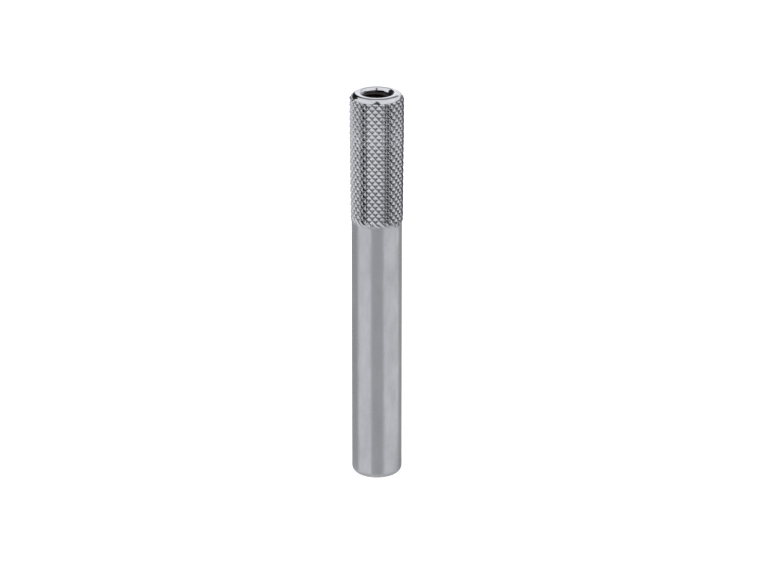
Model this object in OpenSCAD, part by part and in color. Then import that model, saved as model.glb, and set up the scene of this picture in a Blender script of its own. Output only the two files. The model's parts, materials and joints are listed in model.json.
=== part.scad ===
// Knurled tool handle: one turned steel bar with a threaded socket in its top face.
// Millimetres, +Z up along the handle, origin at the centre of the base.

/* [Body] */
// Length from the base to the top face
overall_len = 101.6; // [80:0.1:150]
// Diameter of the plain shank
shank_d = 12.7; // [11:0.1:16]
// Radius of the rounding round the base
base_round = 1.7; // [0.5:0.1:3]

/* [Knurl] */
// Helical grooves in each direction round the handle
knurl_starts = 24; // [16:1:32]
// Distance along the handle between two points of one column
knurl_pitch = 1.88; // [1.2:0.01:2.5]
// Height of the points above the grooves between them
knurl_depth = 0.4; // [0.1:0.05:0.5]
// Height of the knurled grip below the lip
knurl_len = 33.4; // [20:0.1:45]
// Distance from the lip down to the first ring of points
top_ring_gap = 0.35; // [0.2:0.05:0.8]
// Turn of the first column of points from the front of the handle, in degrees
knurl_turn = -2.5; // [-7.5:0.5:7.5]

/* [Grip bands] */
// Diameter over the points of the upper band
upper_band_d = 13.7; // [11.6:0.05:17]
// Distance from the top face to the small step between the bands
upper_band_len = 12.1; // [6:0.1:20]
// Diameter over the points just below the step
lower_band_d = 13.6; // [11.4:0.05:16.8]
// Diameter over the points where the knurl begins to run out
lower_band_end_d = 13.25; // [11.3:0.05:16.6]

/* [Lip] */
// Diameter of the smooth lip where it meets the knurl
lip_d = 13.0; // [11.2:0.05:16.8]
// Height of the lip
lip_h = 1.05; // [0.9:0.05:2]
// Radius of the lip's rounded outside
lip_round = 1.6; // [1.2:0.05:1.8]

/* [Socket] */
// Diameter of the socket's mouth, across the countersink
mouth_d = 8.6; // [8:0.05:9]
// Diameter that the socket is drilled at, before its thread is cut
tapping_d = 6.8; // [5:0.1:7.5]
// Depth of the threaded part, from the top face
socket_depth = 20; // [12:1:30]
// Angle of the cone that the drill leaves at the bottom
drill_angle = 118; // [90:1:140]

/* [Hidden] */

$fn = 96;
overlap = 0.5;
front_angle = -90;

shank_r = shank_d / 2;
lip_r = lip_d / 2;
lip_base = overall_len - lip_h;
lip_centre_r = lip_r - sqrt(pow(lip_round, 2) - pow(lip_round - lip_h, 2));
step_height = overall_len - upper_band_len;

columns = 2 * knurl_starts;
column_angle = 360 / columns;
ring_gap = knurl_pitch / 2;
last_ring = floor((knurl_len - top_ring_gap) / ring_gap);
first_ring_height = lip_base - top_ring_gap - last_ring * ring_gap;
runout_rings = 3;
runout_lead = 0.05;
shank_len = first_ring_height - runout_lead;
buried_r = shank_r - overlap;

tapping_r = tapping_d / 2;
mouth_r = mouth_d / 2;
countersink_depth = mouth_r - tapping_r;
drill_tip = tapping_r / tan(drill_angle / 2);

function ring_height(ring) = first_ring_height + ring * ring_gap;

// Radius over the points: the upper band stands proud, and the lower one tapers slightly.
function crest_r(height) =
    height > step_height
        ? upper_band_d / 2
        : (lower_band_end_d + (lower_band_d - lower_band_end_d)
            * (height - first_ring_height) / (step_height - first_ring_height)) / 2;

// The pattern fades into the shank over the lowest rings.
function fade(ring) = min(1, ring / runout_rings);

function is_point(column, ring) = (column + last_ring - ring) % 2 == 0;

function surface_r(column, ring) =
    let (crest = crest_r(ring_height(ring)), full = is_point(column, ring) ? crest : crest - knurl_depth)
    shank_r + (full - shank_r) * fade(ring) - (ring == 0 ? runout_lead : 0);

function on_ring(radius, column, height) =
    let (angle = front_angle + knurl_turn + column * column_angle)
    [radius * cos(angle), radius * sin(angle), height];

// Row 0 is buried in the shank, so row 1 is ring 0. Each cell is split along the groove across it.
function cell(column, row) =
    let (
        a = row * columns + column,
        b = row * columns + (column + 1) % columns,
        c = a + columns,
        d = b + columns
    )
    is_point(column, row - 1)
        ? [[a, b, c], [b, d, c]]
        : [[a, b, d], [a, d, c]];

module knurl() {
    low_end = ring_height(0) - overlap;
    high_end = lip_base + overlap;
    buried_low = [for (column = [0 : columns - 1]) on_ring(buried_r, column, low_end)];
    surface = [
        for (ring = [0 : last_ring])
            for (column = [0 : columns - 1])
                on_ring(surface_r(column, ring), column, ring_height(ring))
    ];
    buried_high = [for (column = [0 : columns - 1]) on_ring(buried_r, column, high_end)];
    centres = [[0, 0, low_end], [0, 0, high_end]];
    last_row = last_ring + 2;
    top_row = last_row * columns;
    low_centre = top_row + columns;
    high_centre = low_centre + 1;
    sides = [
        for (row = [0 : last_row - 1])
            for (column = [0 : columns - 1])
                each cell(column, row)
    ];
    low_cap = [for (column = [0 : columns - 1]) [low_centre, (column + 1) % columns, column]];
    high_cap = [
        for (column = [0 : columns - 1])
            [high_centre, top_row + column, top_row + (column + 1) % columns]
    ];
    // Faces listed clockwise from outside
    outward = [for (face = concat(sides, low_cap, high_cap)) [face[2], face[1], face[0]]];
    polyhedron(concat(buried_low, surface, buried_high, centres), outward, convexity = 8);
}

module shank_profile() {
    square([shank_r - base_round, shank_len]);
    translate([0, base_round]) square([shank_r, shank_len - base_round]);
    translate([shank_r - base_round, base_round]) circle(base_round);
}

// A flat top whose outside rolls over, and ends on the knurl before it turns upright.
module lip_profile() {
    translate([0, lip_base]) square([lip_centre_r, lip_h]);
    intersection() {
        translate([lip_centre_r, lip_base]) square([lip_round, lip_h]);
        translate([lip_centre_r, overall_len - lip_round]) circle(lip_round);
    }
}

// Drilled at the tapping size, with a countersunk mouth and a conical bottom.
module socket() {
    socket_base = overall_len - socket_depth;
    translate([0, 0, socket_base]) cylinder(h = socket_depth + overlap, r = tapping_r);
    translate([0, 0, socket_base - drill_tip]) cylinder(h = drill_tip, r1 = 0, r2 = tapping_r);
    translate([0, 0, overall_len - countersink_depth])
        cylinder(h = countersink_depth + overlap, r1 = tapping_r, r2 = mouth_r + overlap);
}

module handle_body() {
    color([0.66, 0.67, 0.68])
        difference() {
            union() {
                rotate_extrude() shank_profile();
                knurl();
                rotate_extrude() lip_profile();
            }
            socket();
        }
}

handle_body();
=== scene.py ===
import json
import math

import bpy
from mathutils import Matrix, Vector


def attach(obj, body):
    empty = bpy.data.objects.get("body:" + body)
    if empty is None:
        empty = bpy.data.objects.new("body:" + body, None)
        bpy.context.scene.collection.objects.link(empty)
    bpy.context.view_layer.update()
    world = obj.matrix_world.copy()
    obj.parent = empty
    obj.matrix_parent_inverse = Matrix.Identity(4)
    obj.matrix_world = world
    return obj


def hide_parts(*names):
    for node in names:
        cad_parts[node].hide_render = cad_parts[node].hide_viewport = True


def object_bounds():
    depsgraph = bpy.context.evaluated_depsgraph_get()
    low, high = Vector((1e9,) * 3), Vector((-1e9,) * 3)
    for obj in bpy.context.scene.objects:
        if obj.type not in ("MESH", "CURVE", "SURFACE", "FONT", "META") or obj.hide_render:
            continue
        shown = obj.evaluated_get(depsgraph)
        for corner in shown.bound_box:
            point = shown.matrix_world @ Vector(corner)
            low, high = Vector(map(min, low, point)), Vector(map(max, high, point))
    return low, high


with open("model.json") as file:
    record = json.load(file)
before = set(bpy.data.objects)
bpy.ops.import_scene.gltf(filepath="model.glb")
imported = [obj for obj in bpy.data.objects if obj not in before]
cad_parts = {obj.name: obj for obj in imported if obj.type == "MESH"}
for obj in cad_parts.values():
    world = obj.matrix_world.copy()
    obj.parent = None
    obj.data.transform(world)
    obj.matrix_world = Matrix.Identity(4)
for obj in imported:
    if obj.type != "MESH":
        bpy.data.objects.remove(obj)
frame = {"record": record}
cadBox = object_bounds()
mounts = {mount["name"]: mount for mount in frame["record"]["mounts"]}
mm = 0.001

print("frame loaded, box", [round(edge / mm, 2) for edge in cadBox[1] - cadBox[0]], "mm")


def linearColour(hexValue):
    # sRGB hex to the linear colour that the shaders expect
    parts = [int(hexValue[start:start + 2], 16) / 255 for start in (1, 3, 5)]
    bent = [part / 12.92 if part <= 0.04045 else ((part + 0.055) / 1.055) ** 2.4 for part in parts]
    return (*bent, 1.0)


def addNode(tree, kind, settings=None, links=None):
    node = tree.nodes.new(kind)
    for name, value in (settings or {}).items():
        setattr(node, name, value)
    for socket, source in (links or {}).items():
        if isinstance(source, bpy.types.NodeSocket):
            tree.links.new(source, node.inputs[socket])
        else:
            node.inputs[socket].default_value = source
    return node


# The handle is one turned bar. Its outline is revolved, and the knurl and the thread are raised
# and cut on the revolved skin.
handle = {
    "baseRound": 1.7 * mm,
    "baseRings": 4,
    "baseRoundRings": 12,
    "shankRings": 24,
    "knurlStarts": 24,
    "knurlPitch": 1.88 * mm,
    "knurlDepth": 0.4 * mm,
    "knurlTurn": math.radians(-2.5),
    "fallingShare": 1.0,
    "risingShare": 0.88,  # the second wheel rolled its grooves a little less deep
    "stepsPerPoint": 5,  # grid steps from a point to the next groove crossing
    "topPointGap": 0.35 * mm,
    "pointRings": 35,
    "upperCrest": 6.85 * mm,
    "lowerCrest": 6.8 * mm,
    "lowerCrestEnd": 6.62 * mm,
    "bandStep": 12.1 * mm,
    "bandStepBlend": 0.1 * mm,
    "pointFlat": 0.18,
    "ridgeRound": 0.08,
    "fallingRunout": (0.2 * mm, 1.8 * mm),  # heights over which each set of grooves comes in
    "risingRunout": (0.8 * mm, 2.4 * mm),
    "runoutWobble": 1.4 * mm,
    "runoutWaves": 3.5,
    "lipRadius": 6.5 * mm,
    "lipHeight": 1.05 * mm,
    "lipRound": 1.6 * mm,
    "lipRings": 14,
    "mouthRadius": 4.3 * mm,
    "mouthEdge": ((0.08 * mm, 0), (0.02 * mm, 0.02 * mm)),  # how far out and down the edge is broken
    "threadPitch": 1.25 * mm,
    "threadDepth": 0.6 * mm,
    "threadTurn": 0.5,
    "threadBlunt": (0.15, 0.9),  # where on the V its flat crest ends and its flat root starts
    "threadRunout": (2 * mm, 4 * mm),
    "threadSteps": 8,
    "drillAngle": math.radians(118),
    "drillRings": 4,
    "creaseAngle": math.radians(24),
    "mergeDistance": 0.001 * mm,
}

topHeight = cadBox[1].z
shankRadius = mounts["shank"]["dims"]["r_mm"] * mm
tappingRadius = mounts["tip_socket"]["dims"]["r_mm"] * mm
shankEnd = mounts["shank"]["dims"]["length_mm"] * mm + handle["baseRound"]
lipBase = topHeight - handle["lipHeight"]
countersink = handle["mouthRadius"] - tappingRadius
boreTop = topHeight - countersink
threadEnd = boreTop - mounts["tip_socket"]["dims"]["length_mm"] * mm

# Satin nickel-chrome plate over turned steel. Fine rings from the lathe and soft clouds from the
# buffing wheel break up its reflections; the lip was polished last and mirrors more sharply.
platedSteel = {
    "colour": "#dcdde0",
    "cloudColour": "#b0b1b4",
    "shankRoughness": 0.22,
    "gripRoughness": 0.08,
    "gripBlend": 3 * mm,
    "lipRoughness": 0.09,
    "lipBlend": 0.1 * mm,
    "cloudRoughness": 0.09,
    "cloudRange": (0.3, 0.7),
    "cloudSize": 4 * mm,
    "cloudLength": 10 * mm,  # clouds are longer along the bar than round it
    "ringSpacing": 0.3 * mm,  # real rings are finer than 0.1 mm, too fine to show
    "ringLength": 11.1 * mm,
    "ringHeight": 0.003 * mm,
    "grainSize": 0.25 * mm,
    "grainHeight": 0.0015 * mm,
    "waveSize": 5 * mm,  # the polished bar is not perfectly straight
    "waveHeight": 0.05 * mm,
    "grooveDirtAndShadeColour": "#4a4845",  # oil and dirt stay in the bottom of the knurl's grooves, and the same dark colour there is painted shade in those recesses
    "grooveDirtAndShadeShare": 0.55,  # how far down a groove it begins
    "grooveDirtAndShadeRunout": (0.4 * mm, 1.6 * mm),
    "boreShadeColour": "#3a3634",  # painted shade: the threaded bore is coloured dark for the shade down the deep hole
    "boreRoughness": 0.45,
    "boreEdge": (0.2 * mm, -0.1 * mm),
    "boreMargin": 0.1 * mm,
}


def makePlatedSteel():
    look = platedSteel
    material = bpy.data.materials.new("satinPlatedSteel")
    material.use_nodes = True
    tree = material.node_tree
    tree.nodes.clear()
    place = addNode(tree, "ShaderNodeTexCoord").outputs["Object"]
    height = addNode(tree, "ShaderNodeSeparateXYZ", links={0: place}).outputs["Z"]
    flat = addNode(tree, "ShaderNodeVectorMath", {"operation": "MULTIPLY"}, {
        0: place, 1: (1, 1, 0)}).outputs[0]
    fromAxis = addNode(tree, "ShaderNodeVectorMath", {"operation": "LENGTH"}, {0: flat}).outputs["Value"]

    cloudScale = (1 / look["cloudSize"], 1 / look["cloudSize"], 1 / look["cloudLength"])
    cloudPlace = addNode(tree, "ShaderNodeMapping", links={"Vector": place, "Scale": cloudScale}).outputs[0]
    clouds = addNode(tree, "ShaderNodeTexNoise", links={
        "Vector": cloudPlace, "Scale": 1.0, "Detail": 4.0, "Roughness": 0.6}).outputs[0]
    ringScale = (1 / look["ringLength"], 1 / look["ringLength"], 1 / look["ringSpacing"])
    ringPlace = addNode(tree, "ShaderNodeMapping", links={"Vector": place, "Scale": ringScale}).outputs[0]
    rings = addNode(tree, "ShaderNodeTexNoise", links={
        "Vector": ringPlace, "Scale": 1.0, "Detail": 2.0}).outputs[0]
    grain = addNode(tree, "ShaderNodeTexNoise", links={
        "Vector": place, "Scale": 1 / look["grainSize"], "Detail": 2.0}).outputs[0]
    waves = addNode(tree, "ShaderNodeTexNoise", links={
        "Vector": place, "Scale": 1 / look["waveSize"], "Detail": 0.0}).outputs[0]

    # rolling the knurl burnishes its facets, so the grip lies between the shank and the lip
    gripRoughness = addNode(tree, "ShaderNodeMapRange", {"interpolation_type": "SMOOTHSTEP"}, {
        "Value": height, "From Min": shankEnd, "From Max": shankEnd + look["gripBlend"],
        "To Min": look["shankRoughness"], "To Max": look["gripRoughness"]}).outputs[0]
    zoneRoughness = addNode(tree, "ShaderNodeMapRange", {"interpolation_type": "SMOOTHSTEP"}, {
        "Value": height, "From Min": lipBase - look["lipBlend"], "From Max": lipBase + look["lipBlend"],
        "To Min": gripRoughness, "To Max": look["lipRoughness"]}).outputs[0]
    cloudRoughness = addNode(tree, "ShaderNodeMapRange", links={
        "Value": clouds, "From Min": look["cloudRange"][0], "From Max": look["cloudRange"][1],
        "To Min": -look["cloudRoughness"], "To Max": look["cloudRoughness"]}).outputs[0]
    plateRoughness = addNode(tree, "ShaderNodeMath", {"operation": "ADD"}, {
        0: zoneRoughness, 1: cloudRoughness}).outputs[0]

    # a groove's bottom lies well inside the radius over the points, which grows towards the lip
    pointRadius = addNode(tree, "ShaderNodeMapRange", links={
        "Value": height, "From Min": shankEnd, "From Max": lipBase,
        "To Min": handle["lowerCrestEnd"], "To Max": handle["upperCrest"]}).outputs[0]
    below = addNode(tree, "ShaderNodeMath", {"operation": "SUBTRACT"}, {
        0: pointRadius, 1: fromAxis}).outputs[0]
    deepInGroove = addNode(tree, "ShaderNodeMapRange", {"interpolation_type": "SMOOTHSTEP"}, {
        "Value": below, "From Min": look["grooveDirtAndShadeShare"] * handle["knurlDepth"],
        "From Max": handle["knurlDepth"]}).outputs[0]
    aboveShank = addNode(tree, "ShaderNodeMapRange", {"interpolation_type": "SMOOTHSTEP"}, {
        "Value": height, "From Min": shankEnd + look["grooveDirtAndShadeRunout"][0],
        "From Max": shankEnd + look["grooveDirtAndShadeRunout"][1]}).outputs[0]
    underLip = addNode(tree, "ShaderNodeMath", {"operation": "LESS_THAN"}, {
        0: height, 1: lipBase}).outputs[0]
    onGrip = addNode(tree, "ShaderNodeMath", {"operation": "MULTIPLY"}, {
        0: aboveShank, 1: underLip}).outputs[0]
    # painted shade and dirt: the colour darkens towards the bottom of each groove on the grip
    grooveDirtAndShadeMask = addNode(tree, "ShaderNodeMath", {"operation": "MULTIPLY"}, {
        0: deepInGroove, 1: onGrip}).outputs[0]

    # the cut thread lies inside the bore's radius and below its countersink
    boreRadius = tappingRadius + handle["threadDepth"] + look["boreMargin"]
    inBore = addNode(tree, "ShaderNodeMath", {"operation": "LESS_THAN"}, {
        0: fromAxis, 1: boreRadius}).outputs[0]
    belowMouth = addNode(tree, "ShaderNodeMapRange", {"interpolation_type": "SMOOTHSTEP"}, {
        "Value": height, "From Min": boreTop + look["boreEdge"][0],
        "From Max": boreTop + look["boreEdge"][1]}).outputs[0]
    # painted shade: below the countersink the bore takes a dark colour and a rougher finish
    boreShadeMask = addNode(tree, "ShaderNodeMath", {"operation": "MULTIPLY"}, {
        0: inBore, 1: belowMouth}).outputs[0]

    colour = linearColour(look["colour"])
    for mask, name in ((clouds, "cloudColour"), (grooveDirtAndShadeMask, "grooveDirtAndShadeColour"), (boreShadeMask, "boreShadeColour")):
        colour = addNode(tree, "ShaderNodeMix", {"data_type": "RGBA"}, {
            "Factor": mask, 6: colour, 7: linearColour(look[name])}).outputs[2]
    roughness = addNode(tree, "ShaderNodeMapRange", links={
        "Value": boreShadeMask, "To Min": plateRoughness, "To Max": look["boreRoughness"]}).outputs[0]

    bump = addNode(tree, "ShaderNodeBump", links={
        "Height": rings, "Strength": 1.0, "Distance": look["ringHeight"]}).outputs[0]
    for pattern, name in ((grain, "grainHeight"), (waves, "waveHeight")):
        bump = addNode(tree, "ShaderNodeBump", links={
            "Height": pattern, "Strength": 1.0, "Distance": look[name], "Normal": bump}).outputs[0]
    shader = addNode(tree, "ShaderNodeBsdfPrincipled", links={
        "Base Color": colour, "Metallic": 1.0, "Roughness": roughness, "Normal": bump})
    addNode(tree, "ShaderNodeOutputMaterial", links={"Surface": shader.outputs[0]})
    return material


def makeOutline():
    # (radius, height, knurled, threaded) from the centre of the base round to the bottom of the socket
    size = handle
    rowGap = size["knurlPitch"] / 2 / size["stepsPerPoint"]
    gripRows = size["pointRings"] * size["stepsPerPoint"]
    topPoint = lipBase - size["topPointGap"]
    gripBase = topPoint - gripRows * rowGap
    outline = [(0, 0, 0, 0)]

    baseRadius = shankRadius - size["baseRound"]
    for step in range(1, size["baseRings"]):
        outline.append((baseRadius * step / size["baseRings"], 0, 0, 0))
    for step in range(size["baseRoundRings"] + 1):
        angle = math.radians(90) * (step / size["baseRoundRings"] - 1)
        outline.append((
            baseRadius + size["baseRound"] * math.cos(angle),
            size["baseRound"] + size["baseRound"] * math.sin(angle), 0, 0))
    for step in range(1, size["shankRings"]):
        share = step / size["shankRings"]
        outline.append((shankRadius, size["baseRound"] + (gripBase - size["baseRound"]) * share, 0, 0))
    firstGripRow = len(outline)
    for step in range(gripRows + 2):
        outline.append((shankRadius, gripBase + step * rowGap, 1, 0))

    # the lip's outside is an arc that ends on the knurl before it turns upright
    lowAngle = math.asin(1 - size["lipHeight"] / size["lipRound"])
    arcCentre = size["lipRadius"] - size["lipRound"] * math.cos(lowAngle)
    for step in range(size["lipRings"] + 1):
        angle = lowAngle + (math.radians(90) - lowAngle) * step / size["lipRings"]
        outline.append((
            arcCentre + size["lipRound"] * math.cos(angle),
            topHeight - size["lipRound"] + size["lipRound"] * math.sin(angle), 0, 0))
    for outwards, down in size["mouthEdge"]:
        outline.append((size["mouthRadius"] + outwards, topHeight - down, 0, 0))

    threadGap = size["threadPitch"] / size["threadSteps"]
    coneRows = math.floor(countersink / threadGap)
    for step in range(1, coneRows + 1):
        depth = countersink * step / (coneRows + 1)
        outline.append((size["mouthRadius"] - depth, topHeight - depth, 0, 1))
    boreRows = round((boreTop - threadEnd) / threadGap)
    for step in range(boreRows + 1):
        outline.append((tappingRadius, boreTop - (boreTop - threadEnd) * step / boreRows, 0, 1))
    tipDepth = tappingRadius / math.tan(size["drillAngle"] / 2)
    for step in range(1, size["drillRings"] + 1):
        share = step / size["drillRings"]
        outline.append((tappingRadius * (1 - share), threadEnd - tipDepth * share, 0, 0))
    return outline, firstGripRow, gripBase, topPoint


def addGrid(tree, given):
    # a flat grid, one unit a step: columns go round the bar and rows along its outline
    rowCount = addNode(tree, "GeometryNodeAttributeDomainSize", links={
        0: given["Geometry"]}).outputs["Point Count"]
    rowSpan = addNode(tree, "ShaderNodeMath", {"operation": "SUBTRACT"}, {0: rowCount, 1: 1.0}).outputs[0]
    columnCount = addNode(tree, "ShaderNodeMath", {"operation": "ADD"}, {
        0: given["Around"], 1: 1.0}).outputs[0]
    grid = addNode(tree, "GeometryNodeMeshGrid", links={
        "Size X": given["Around"], "Size Y": rowSpan, "Vertices X": columnCount, "Vertices Y": rowCount})
    position = addNode(tree, "GeometryNodeInputPosition").outputs[0]
    spot = addNode(tree, "ShaderNodeSeparateXYZ", links={0: position}).outputs
    places = []
    for offset, span in ((spot["X"], given["Around"]), (spot["Y"], rowSpan)):
        half = addNode(tree, "ShaderNodeMath", {"operation": "MULTIPLY"}, {0: span, 1: 0.5}).outputs[0]
        places.append(addNode(tree, "ShaderNodeMath", {"operation": "ADD"}, {
            0: offset, 1: half}).outputs[0])
    column, row = places

    # each small square is cut along the groove that its cell holds
    gripRow = addNode(tree, "ShaderNodeMath", {"operation": "SUBTRACT"}, {
        0: row, 1: given["Grip Row"]}).outputs[0]
    cells = []
    for steps in (column, gripRow):
        points = addNode(tree, "ShaderNodeMath", {"operation": "DIVIDE"}, {
            0: steps, 1: given["Steps"]}).outputs[0]
        cells.append(addNode(tree, "ShaderNodeMath", {"operation": "FLOOR"}, {0: points}).outputs[0])
    cellSum = addNode(tree, "ShaderNodeMath", {"operation": "ADD"}, dict(enumerate(cells))).outputs[0]
    remainder = addNode(tree, "ShaderNodeMath", {"operation": "FLOORED_MODULO"}, {
        0: cellSum, 1: 2.0}).outputs[0]
    odd = addNode(tree, "ShaderNodeMath", {"operation": "GREATER_THAN"}, {
        0: remainder, 1: 0.5}).outputs[0]
    even = addNode(tree, "ShaderNodeMath", {"operation": "SUBTRACT"}, {0: 1.0, 1: odd}).outputs[0]
    cut = grid.outputs["Mesh"]
    for method, chosen in (("FIXED", odd), ("FIXED_ALTERNATE", even)):
        cut = addNode(tree, "GeometryNodeTriangulate", {"quad_method": method}, {
            "Mesh": cut, "Selection": chosen}).outputs[0]
    return cut, column, row


def addOutlineReader(tree, given, row):
    # the outline's radius, height and marks at this row
    index = addNode(tree, "ShaderNodeMath", {"operation": "ROUND"}, {0: row}).outputs[0]
    position = addNode(tree, "GeometryNodeInputPosition").outputs[0]
    sampled = addNode(tree, "GeometryNodeSampleIndex", {"data_type": "FLOAT_VECTOR"}, {
        "Geometry": given["Geometry"], "Value": position, "Index": index}).outputs[0]
    point = addNode(tree, "ShaderNodeSeparateXYZ", links={0: sampled}).outputs
    marks = []
    for name in ("knurled", "threaded"):
        mark = addNode(tree, "GeometryNodeInputNamedAttribute", {"data_type": "FLOAT"}, {
            "Name": name}).outputs[0]
        marks.append(addNode(tree, "GeometryNodeSampleIndex", {"data_type": "FLOAT"}, {
            "Geometry": given["Geometry"], "Value": mark, "Index": index}).outputs[0])
    return point["X"], point["Z"], marks


def addKnurl(tree, given, turn, height, circlePlace):
    # two crossing sets of helical grooves; the falling ones run on a little lower, and both end unevenly
    aroundPhase = addNode(tree, "ShaderNodeMath", {"operation": "MULTIPLY"}, {
        0: turn, 1: given["Starts"]}).outputs[0]
    fromPoint = addNode(tree, "ShaderNodeMath", {"operation": "SUBTRACT"}, {
        0: height, 1: given["Point Height"]}).outputs[0]
    alongPhase = addNode(tree, "ShaderNodeMath", {"operation": "DIVIDE"}, {
        0: fromPoint, 1: given["Pitch"]}).outputs[0]
    noise = addNode(tree, "ShaderNodeTexNoise", {"noise_dimensions": "3D"}, {
        "Vector": circlePlace, "Scale": given["Runout Waves"], "Detail": 2.0}).outputs[0]
    centred = addNode(tree, "ShaderNodeMath", {"operation": "SUBTRACT"}, {0: noise, 1: 0.5}).outputs[0]
    wobble = addNode(tree, "ShaderNodeMath", {"operation": "MULTIPLY"}, {
        0: centred, 1: given["Runout Wobble"]}).outputs[0]
    aboveBase = addNode(tree, "ShaderNodeMath", {"operation": "SUBTRACT"}, {
        0: height, 1: given["Grip Base"]}).outputs[0]
    shifted = addNode(tree, "ShaderNodeMath", {"operation": "ADD"}, {
        0: aboveBase, 1: wobble}).outputs[0]
    fades = []
    grooves = []
    for way, operation in (("Falling", "ADD"), ("Rising", "SUBTRACT")):
        phase = addNode(tree, "ShaderNodeMath", {"operation": operation}, {
            0: aroundPhase, 1: alongPhase}).outputs[0]
        wave = addNode(tree, "ShaderNodeMath", {"operation": "PINGPONG"}, {0: phase, 1: 0.5}).outputs[0]
        groove = addNode(tree, "ShaderNodeMath", {"operation": "MULTIPLY"}, {
            0: wave, 1: given[way + " Height"]}).outputs[0]
        fades.append(addNode(tree, "ShaderNodeMapRange", {"interpolation_type": "SMOOTHSTEP"}, {
            "Value": shifted, "From Min": given[way + " Start"],
            "From Max": given[way + " Full"]}).outputs[0])
        grooves.append(addNode(tree, "ShaderNodeMath", {"operation": "MULTIPLY"}, {
            0: groove, 1: fades[-1]}).outputs[0])
    carved = addNode(tree, "ShaderNodeMath", {"operation": "SMOOTH_MAX"}, {
        0: grooves[0], 1: grooves[1], 2: given["Ridge Round"]}).outputs[0]

    # the points are worn flat
    blunted = addNode(tree, "ShaderNodeMapRange", {"clamp": False}, {
        "Value": carved, "From Min": given["Point Flat"], "From Max": 1.0}).outputs[0]
    blunted = addNode(tree, "ShaderNodeMath", {"operation": "MAXIMUM"}, {0: blunted, 1: 0.0}).outputs[0]
    cutDepth = addNode(tree, "ShaderNodeMath", {"operation": "MULTIPLY"}, {
        0: blunted, 1: given["Depth"]}).outputs[0]

    # the lower band tapers, and the upper one stands a small step proud of it
    lowerCrest = addNode(tree, "ShaderNodeMapRange", links={
        "Value": height, "From Min": given["Grip Base"], "From Max": given["Step Height"],
        "To Min": given["Lower Crest End"], "To Max": given["Lower Crest"]}).outputs[0]
    crest = addNode(tree, "ShaderNodeMapRange", {"interpolation_type": "SMOOTHSTEP"}, {
        "Value": height, "From Min": given["Step Start"], "From Max": given["Step Full"],
        "To Min": lowerCrest, "To Max": given["Upper Crest"]}).outputs[0]
    proud = addNode(tree, "ShaderNodeMath", {"operation": "SUBTRACT"}, {
        0: crest, 1: given["Shank Radius"]}).outputs[0]
    swell = addNode(tree, "ShaderNodeMath", {"operation": "MULTIPLY"}, {0: proud, 1: fades[0]}).outputs[0]
    return addNode(tree, "ShaderNodeMath", {"operation": "SUBTRACT"}, {0: swell, 1: cutDepth}).outputs[0]


def addThread(tree, given, turn, height):
    # right-hand thread: a blunt V that meets the countersink and runs out above the socket's bottom
    turnsUp = addNode(tree, "ShaderNodeMath", {"operation": "DIVIDE"}, {
        0: height, 1: given["Thread Pitch"]}).outputs[0]
    turnsRound = addNode(tree, "ShaderNodeMath", {"operation": "ADD"}, {
        0: turn, 1: given["Thread Turn"]}).outputs[0]
    phase = addNode(tree, "ShaderNodeMath", {"operation": "SUBTRACT"}, {
        0: turnsUp, 1: turnsRound}).outputs[0]
    wave = addNode(tree, "ShaderNodeMath", {"operation": "PINGPONG"}, {0: phase, 1: 0.5}).outputs[0]
    wholeWave = addNode(tree, "ShaderNodeMath", {"operation": "MULTIPLY"}, {0: wave, 1: 2.0}).outputs[0]
    shape = addNode(tree, "ShaderNodeMapRange", links={
        "Value": wholeWave, "From Min": given["Thread Crest"], "From Max": given["Thread Root"]}).outputs[0]
    fade = addNode(tree, "ShaderNodeMapRange", links={
        "Value": height, "From Min": given["Thread Start"], "From Max": given["Thread Full"]}).outputs[0]
    faded = addNode(tree, "ShaderNodeMath", {"operation": "MULTIPLY"}, {0: shape, 1: fade}).outputs[0]
    cutDepth = addNode(tree, "ShaderNodeMath", {"operation": "MULTIPLY"}, {
        0: faded, 1: given["Thread Depth"]}).outputs[0]
    return addNode(tree, "ShaderNodeMath", {"operation": "ADD"}, {
        0: given["Thread Radius"], 1: cutDepth}).outputs[0]


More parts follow.
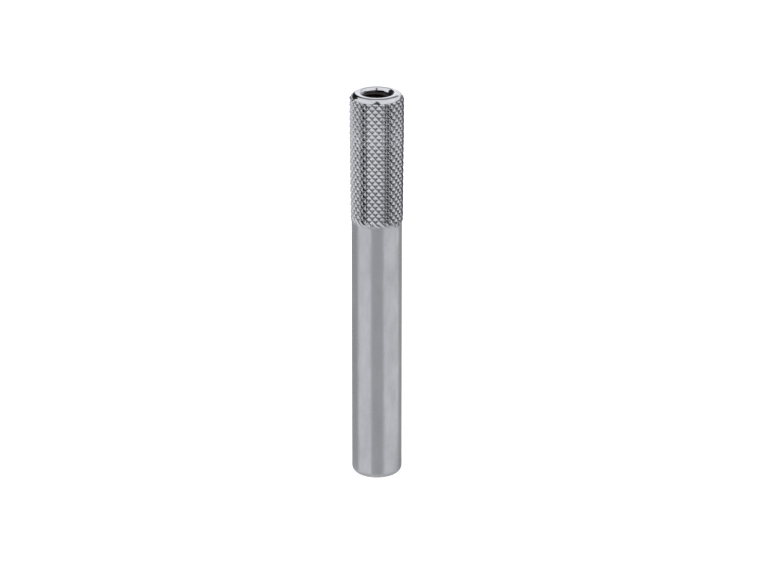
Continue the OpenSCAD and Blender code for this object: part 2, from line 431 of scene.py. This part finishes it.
def buildLatheTree(names):
    tree = bpy.data.node_groups.new("knurledLathe", "GeometryNodeTree")
    tree.interface.new_socket("Geometry", in_out="INPUT", socket_type="NodeSocketGeometry")
    for name in names:
        tree.interface.new_socket(name, in_out="INPUT", socket_type="NodeSocketFloat")
    tree.interface.new_socket("Material", in_out="INPUT", socket_type="NodeSocketMaterial")
    tree.interface.new_socket("Geometry", in_out="OUTPUT", socket_type="NodeSocketGeometry")
    given = addNode(tree, "NodeGroupInput").outputs

    cut, column, row = addGrid(tree, given)
    radius, height, (knurled, threaded) = addOutlineReader(tree, given, row)
    turn = addNode(tree, "ShaderNodeMath", {"operation": "DIVIDE"}, {
        0: column, 1: given["Around"]}).outputs[0]
    turnAngle = addNode(tree, "ShaderNodeMath", {"operation": "MULTIPLY"}, {
        0: turn, 1: math.tau}).outputs[0]
    angle = addNode(tree, "ShaderNodeMath", {"operation": "ADD"}, {
        0: given["First Angle"], 1: turnAngle}).outputs[0]
    cosine = addNode(tree, "ShaderNodeMath", {"operation": "COSINE"}, {0: angle}).outputs[0]
    sine = addNode(tree, "ShaderNodeMath", {"operation": "SINE"}, {0: angle}).outputs[0]
    circlePlace = addNode(tree, "ShaderNodeCombineXYZ", links={0: cosine, 1: sine, 2: 0.0}).outputs[0]

    relief = addNode(tree, "ShaderNodeMath", {"operation": "MULTIPLY"}, {
        0: addKnurl(tree, given, turn, height, circlePlace), 1: knurled}).outputs[0]
    threadRadius = addNode(tree, "ShaderNodeMath", {"operation": "MULTIPLY"}, {
        0: addThread(tree, given, turn, height), 1: threaded}).outputs[0]
    plainRadius = addNode(tree, "ShaderNodeMath", {"operation": "MAXIMUM"}, {
        0: radius, 1: threadRadius}).outputs[0]
    finalRadius = addNode(tree, "ShaderNodeMath", {"operation": "ADD"}, {
        0: plainRadius, 1: relief}).outputs[0]
    across = addNode(tree, "ShaderNodeMath", {"operation": "MULTIPLY"}, {
        0: finalRadius, 1: cosine}).outputs[0]
    away = addNode(tree, "ShaderNodeMath", {"operation": "MULTIPLY"}, {
        0: finalRadius, 1: sine}).outputs[0]
    place = addNode(tree, "ShaderNodeCombineXYZ", links={0: across, 1: away, 2: height}).outputs[0]

    shape = addNode(tree, "GeometryNodeSetPosition", links={"Geometry": cut, "Position": place}).outputs[0]
    shape = addNode(tree, "GeometryNodeMergeByDistance", links={
        "Geometry": shape, "Distance": given["Merge Distance"]}).outputs[0]
    shape = addNode(tree, "GeometryNodeSetShadeSmooth", links={"Geometry": shape}).outputs[0]
    edgeAngle = addNode(tree, "GeometryNodeInputMeshEdgeAngle").outputs[0]
    sharp = addNode(tree, "ShaderNodeMath", {"operation": "GREATER_THAN"}, {
        0: edgeAngle, 1: given["Crease Angle"]}).outputs[0]
    shape = addNode(tree, "GeometryNodeSetShadeSmooth", {"domain": "EDGE"}, {
        "Geometry": shape, "Selection": sharp, "Shade Smooth": False}).outputs[0]
    shape = addNode(tree, "GeometryNodeRealizeInstances", links={0: shape}).outputs[0]
    shape = addNode(tree, "GeometryNodeSetMaterial", links={
        "Geometry": shape, "Material": given["Material"]}).outputs[0]
    addNode(tree, "NodeGroupOutput", links={0: shape})
    return tree


def makeHandle(material):
    size = handle
    outline, firstGripRow, gripBase, topPoint = makeOutline()
    stepHeight = topHeight - size["bandStep"]
    inputs = {
        "Around": 2 * size["knurlStarts"] * size["stepsPerPoint"],
        "Starts": size["knurlStarts"],
        "Steps": size["stepsPerPoint"],
        "Grip Row": firstGripRow,
        "First Angle": math.radians(-90) + size["knurlTurn"],
        "Pitch": size["knurlPitch"],
        "Depth": size["knurlDepth"],
        "Point Height": topPoint,
        "Point Flat": size["pointFlat"],
        "Ridge Round": size["ridgeRound"],
        "Falling Height": 2 * size["fallingShare"],
        "Falling Start": size["fallingRunout"][0],
        "Falling Full": size["fallingRunout"][1],
        "Rising Height": 2 * size["risingShare"],
        "Rising Start": size["risingRunout"][0],
        "Rising Full": size["risingRunout"][1],
        "Runout Wobble": size["runoutWobble"],
        "Runout Waves": size["runoutWaves"],
        "Shank Radius": shankRadius,
        "Grip Base": gripBase,
        "Lower Crest End": size["lowerCrestEnd"],
        "Lower Crest": size["lowerCrest"],
        "Upper Crest": size["upperCrest"],
        "Step Height": stepHeight,
        "Step Start": stepHeight - size["bandStepBlend"],
        "Step Full": stepHeight + size["bandStepBlend"],
        "Thread Radius": tappingRadius,
        "Thread Depth": size["threadDepth"],
        "Thread Pitch": size["threadPitch"],
        "Thread Turn": size["threadTurn"],
        "Thread Crest": size["threadBlunt"][0],
        "Thread Root": size["threadBlunt"][1],
        "Thread Start": threadEnd + size["threadRunout"][0],
        "Thread Full": threadEnd + size["threadRunout"][1],
        "Merge Distance": size["mergeDistance"],
        "Crease Angle": size["creaseAngle"],
    }

    mesh = bpy.data.meshes.new("handleOutline")
    mesh.from_pydata([(radius, 0, height) for radius, height, knurled, threaded in outline],
                     [(index, index + 1) for index in range(len(outline) - 1)], [])
    for name, column in (("knurled", 2), ("threaded", 3)):
        marks = mesh.attributes.new(name, "FLOAT", "POINT")
        marks.data.foreach_set("value", [row[column] for row in outline])
    source = bpy.data.objects.new("handleSource", mesh)
    bpy.context.scene.collection.objects.link(source)

    tree = buildLatheTree(inputs)
    modifier = source.modifiers.new("knurledLathe", "NODES")
    modifier.node_group = tree
    for item in tree.interface.items_tree:
        if item.in_out == "INPUT" and item.name in inputs:
            modifier[item.identifier] = float(inputs[item.name])
        elif item.name == "Material":
            modifier[item.identifier] = material

    graph = bpy.context.evaluated_depsgraph_get()
    finished = bpy.data.meshes.new_from_object(source.evaluated_get(graph))
    bpy.data.objects.remove(source)
    finished.name = "knurledHandle"
    piece = bpy.data.objects.new("knurledHandle", finished)
    bpy.context.scene.collection.objects.link(piece)
    print("handle made,", sum(len(face.vertices) - 2 for face in finished.polygons), "triangles")
    return piece


body = makeHandle(makePlatedSteel())
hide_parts("handle_body")
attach(body, "root")


# Studio: a white floor, even light all round, and soft dark flags that the plated surface mirrors.
# Angles are in degrees. A flag's azimuth is counted from the viewer's side, and grows towards +X.
studio = {
    "floorWidth": 12.0,
    "floorColour": "#f4f4f4",
    "floorRoughness": 0.9,
    "floorGlow": 0.8,
    "nearFloorRadius": 7.8 * mm,
    "nearFloorHeight": -0.02 * mm,
    "nearFloorCorners": 48,
    "nearFloorGlow": 0.6,
    "skyColour": "#fbfcff",
    "levels": [
        {"elevation": -90, "strength": 0.7},
        {"elevation": -60, "strength": 0.58},
        {"elevation": -46, "strength": 0.64},
        {"elevation": -30, "strength": 0.8},
        {"elevation": -8, "strength": 0.8},
        {"elevation": 6, "strength": 1.22},
        {"elevation": 90, "strength": 1.15},
    ],
    "flags": [
        {"azimuth": 2.5, "elevation": -20, "width": 28.5, "height": 22, "soft": 5, "dark": 0.37},
        {"azimuth": -1, "elevation": 28, "width": 17, "height": 15, "soft": 3, "dark": 0.99},
        {"azimuth": 3, "elevation": 58, "width": 13, "height": 22, "soft": 6, "dark": 0.85},
        {"azimuth": 0, "elevation": 16, "width": 110, "height": 14, "soft": 6, "dark": 0.15},
        {"azimuth": 120, "elevation": 3, "width": 34, "height": 13, "soft": 5, "dark": 0.72},
        {"azimuth": -168, "elevation": -13, "width": 72, "height": 18, "soft": 10, "dark": 0.46},
        {"azimuth": -143, "elevation": 23, "width": 27, "height": 17, "soft": 4, "dark": 0.98},
        {"azimuth": 180, "elevation": 47, "width": 38, "height": 20, "soft": 6, "dark": 0.72},
        {"azimuth": 0, "elevation": -66, "width": 50, "height": 8, "soft": 4, "dark": 0.8},
        {"azimuth": 80, "elevation": -57, "width": 32, "height": 9, "soft": 6, "dark": 0.85},
        {"azimuth": -82, "elevation": -57, "width": 32, "height": 9, "soft": 6, "dark": 0.72},
        {"azimuth": 132, "elevation": -40, "width": 28, "height": 12, "soft": 6, "dark": 0.92},
    ],
}


def makeWorld():
    world = bpy.data.worlds.new("studioWorld")
    bpy.context.scene.world = world
    world.use_nodes = True
    tree = world.node_tree
    tree.nodes.clear()
    direction = addNode(tree, "ShaderNodeTexCoord").outputs["Generated"]
    up = addNode(tree, "ShaderNodeSeparateXYZ", links={0: direction}).outputs["Z"]
    elevation = addNode(tree, "ShaderNodeMath", {"operation": "ARCSINE"}, {0: up}).outputs[0]
    levels = studio["levels"]
    strength = levels[0]["strength"]
    for lower, upper in zip(levels, levels[1:]):
        strength = addNode(tree, "ShaderNodeMapRange", {"interpolation_type": "SMOOTHSTEP"}, {
            "Value": elevation, "From Min": math.radians(lower["elevation"]),
            "From Max": math.radians(upper["elevation"]),
            "To Min": strength, "To Max": upper["strength"]}).outputs[0]
    for flag in studio["flags"]:
        turned = addNode(tree, "ShaderNodeVectorRotate", {"rotation_type": "Z_AXIS"}, {
            "Vector": direction, "Angle": -math.radians(flag["azimuth"])}).outputs[0]
        axes = addNode(tree, "ShaderNodeSeparateXYZ", links={0: turned}).outputs
        towardsViewer = addNode(tree, "ShaderNodeMath", {"operation": "MULTIPLY"}, {
            0: axes["Y"], 1: -1.0}).outputs[0]
        azimuth = addNode(tree, "ShaderNodeMath", {"operation": "ARCTAN2"}, {
            0: axes["X"], 1: towardsViewer}).outputs[0]
        cover = flag["dark"]
        for value, centre, half in ((azimuth, 0, flag["width"]),
                                    (elevation, flag["elevation"], flag["height"])):
            offset = addNode(tree, "ShaderNodeMath", {"operation": "SUBTRACT"}, {
                0: value, 1: math.radians(centre)}).outputs[0]
            distance = addNode(tree, "ShaderNodeMath", {"operation": "ABSOLUTE"}, {0: offset}).outputs[0]
            inside = addNode(tree, "ShaderNodeMapRange", {"interpolation_type": "SMOOTHSTEP"}, {
                "Value": distance, "From Min": math.radians(half - flag["soft"]),
                "From Max": math.radians(half + flag["soft"]), "To Min": 1.0, "To Max": 0.0}).outputs[0]
            cover = addNode(tree, "ShaderNodeMath", {"operation": "MULTIPLY"}, {
                0: cover, 1: inside}).outputs[0]
        light = addNode(tree, "ShaderNodeMath", {"operation": "SUBTRACT"}, {0: 1.0, 1: cover}).outputs[0]
        strength = addNode(tree, "ShaderNodeMath", {"operation": "MULTIPLY"}, {
            0: strength, 1: light}).outputs[0]
    lit = addNode(tree, "ShaderNodeBackground", links={
        "Color": linearColour(studio["skyColour"]), "Strength": strength}).outputs[0]
    backdrop = addNode(tree, "ShaderNodeBackground", links={
        "Color": (1, 1, 1, 1), "Strength": 1.0}).outputs[0]
    seenDirectly = addNode(tree, "ShaderNodeLightPath").outputs["Is Camera Ray"]
    mixed = addNode(tree, "ShaderNodeMixShader", links={0: seenDirectly, 1: lit, 2: backdrop})
    addNode(tree, "ShaderNodeOutputWorld", links={"Surface": mixed.outputs[0]})


def makeGround(name, rim, finish, kind, look):
    mesh = bpy.data.meshes.new(name)
    mesh.from_pydata(rim, [], [tuple(range(len(rim)))])
    material = bpy.data.materials.new(finish)
    material.use_nodes = True
    tree = material.node_tree
    tree.nodes.clear()
    shader = addNode(tree, kind, links=look)
    addNode(tree, "ShaderNodeOutputMaterial", links={"Surface": shader.outputs[0]})
    mesh.materials.append(material)
    ground = bpy.data.objects.new(name, mesh)
    bpy.context.scene.collection.objects.link(ground)
    ground.visible_shadow = False
    return ground


def makeFloor():
    # the plate mirrors the studio's own light here, and not the bright floor
    half = studio["floorWidth"] / 2
    corners = [(-half, -half, 0), (half, -half, 0), (half, half, 0), (-half, half, 0)]
    floor = makeGround("floor", corners, "paleFloor", "ShaderNodeBsdfPrincipled", {
        "Base Color": linearColour(studio["floorColour"]), "Roughness": studio["floorRoughness"],
        "Emission Color": (1, 1, 1, 1), "Emission Strength": studio["floorGlow"]})
    floor.visible_glossy = False

    # the rounding of the base mirrors the ground just round it, and nothing else does
    rim = []
    for corner in range(studio["nearFloorCorners"]):
        angle = math.tau * corner / studio["nearFloorCorners"]
        rim.append((studio["nearFloorRadius"] * math.cos(angle),
                    studio["nearFloorRadius"] * math.sin(angle), studio["nearFloorHeight"]))
    nearFloor = makeGround("nearFloor", rim, "mirroredFloor", "ShaderNodeEmission", {
        "Strength": studio["nearFloorGlow"]})
    nearFloor.visible_camera = False
    nearFloor.visible_diffuse = False


# A long lens from above, aimed a little to the right of the handle's axis and above its middle
view = {
    "lens": 200.6,
    "sensor": 36,
    "elevation": math.radians(20.5),
    "distance": 1.07,
    "aimRight": 1.05 * mm,
    "aimUp": 0.9 * mm,
}


def makeCamera():
    data = bpy.data.cameras.new("camera")
    data.sensor_width = view["sensor"]
    data.lens = view["lens"]
    data.clip_start = 0.05
    data.clip_end = 50
    camera = bpy.data.objects.new("camera", data)
    bpy.context.scene.collection.objects.link(camera)
    target = Vector((view["aimRight"], 0, (cadBox[0].z + cadBox[1].z) / 2 + view["aimUp"]))
    back = Vector((0, -math.cos(view["elevation"]), math.sin(view["elevation"])))
    camera.location = target + back * view["distance"]
    camera.rotation_mode = "QUATERNION"
    camera.rotation_quaternion = (-back).to_track_quat("-Z", "Y")
    bpy.context.scene.camera = camera


makeWorld()
makeFloor()
makeCamera()
bpy.context.scene.view_settings.view_transform = "Standard"
print("studio made")
